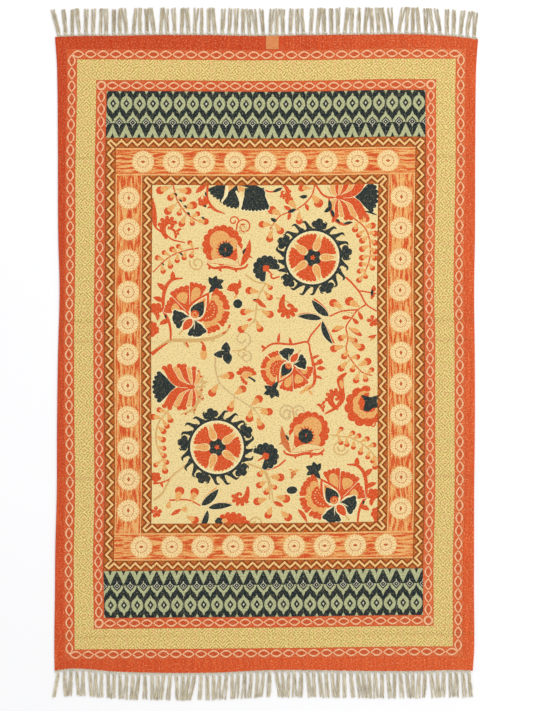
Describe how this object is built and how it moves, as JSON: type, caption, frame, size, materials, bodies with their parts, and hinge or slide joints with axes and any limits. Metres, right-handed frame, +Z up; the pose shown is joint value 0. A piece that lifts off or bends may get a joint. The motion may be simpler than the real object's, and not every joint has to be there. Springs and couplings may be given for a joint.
{
  "type": "printed cotton rug",
  "caption": "Flat-woven cotton area rug with a printed face and a natural warp fringe at both short ends, lying flat.",
  "frame": {"origin": "middle of the cloth's flat underside, on the floor", "axes": "+X across the rug to the right, +Y along its length, +Z up through the printed face"},
  "size_m": [1.2304, 1.9952, 0.0051],
  "materials": {
    "printed_cotton": "flat-woven cotton, block-printed in orange, red, cream, dark green and sage",
    "natural_cotton": "undyed plied cotton yarn",
    "label_cotton": "plain peach cotton tape"
  },
  "bodies": {
    "root": {"cloth": "printed_cotton", "fringe_top": "natural_cotton", "fringe_bottom": "natural_cotton", "label": "label_cotton"}
  },
  "joints": []
}
